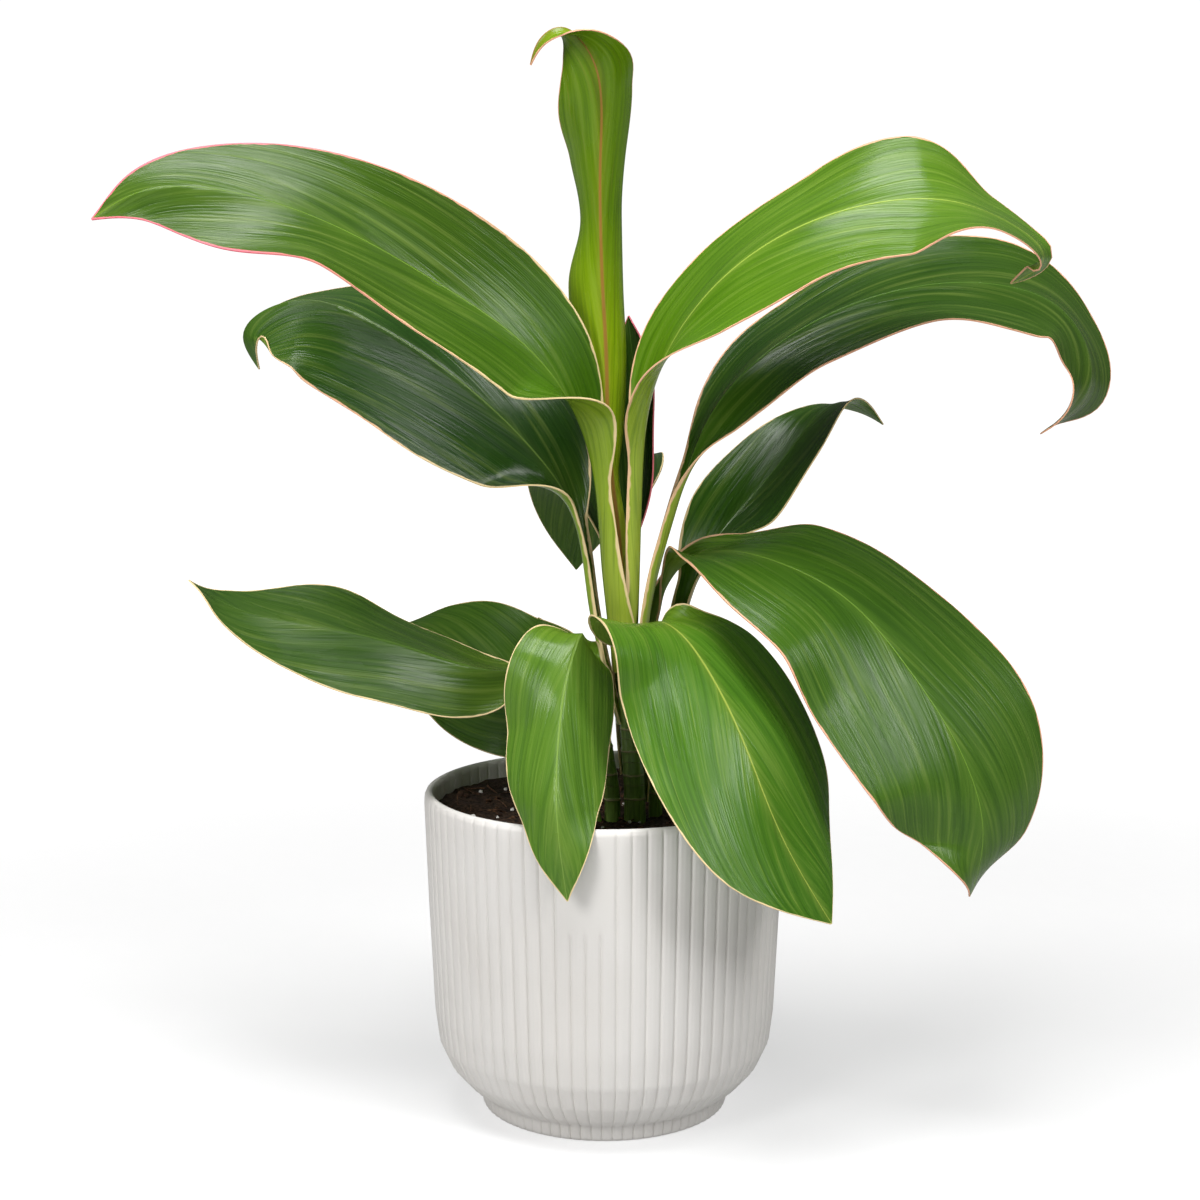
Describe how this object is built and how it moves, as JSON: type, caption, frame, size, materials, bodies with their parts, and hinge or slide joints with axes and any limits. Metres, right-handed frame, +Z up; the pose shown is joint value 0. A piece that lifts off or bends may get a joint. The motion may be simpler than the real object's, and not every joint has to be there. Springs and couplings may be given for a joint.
{
  "type": "potted cordyline",
  "caption": "House plant with broad arching waxy leaves on short canes, standing in soil in a round ribbed planter with a flat foot.",
  "frame": {"origin": "centre of the pot's flat foot, on the surface it stands on", "axes": "+Z up along the pot's axis, -Y towards the side the plant is seen from, +X to that viewer's right"},
  "size_m": [0.494, 0.2867, 0.5283],
  "materials": {
    "planter": "satin off-white",
    "compost": "rough, crumbly",
    "cane": "satin, ringed",
    "leaf_young": "satin, lined along its length",
    "leaf_light": "glossy, finely veined",
    "leaf_mid": "glossy, finely veined",
    "leaf_dark": "glossy, finely veined"
  },
  "bodies": {
    "root": {"pot": "planter", "soil": "compost", "cane_main": "cane", "cane_left": "cane", "cane_right": "cane", "shoot_low": "cane", "leaf_top": "leaf_young", "leaf_upper_left": "leaf_mid", "leaf_second_left": "leaf_dark", "leaf_upper_right": "leaf_light", "leaf_second_right": "leaf_dark", "leaf_short_right": "leaf_dark", "leaf_big_right": "leaf_mid", "leaf_front_right": "leaf_mid", "leaf_front_left": "leaf_mid", "leaf_low_left": "leaf_mid", "leaf_back_left": "leaf_mid", "leaf_back": "leaf_dark", "leaf_back_right": "leaf_dark"}
  },
  "joints": []
}
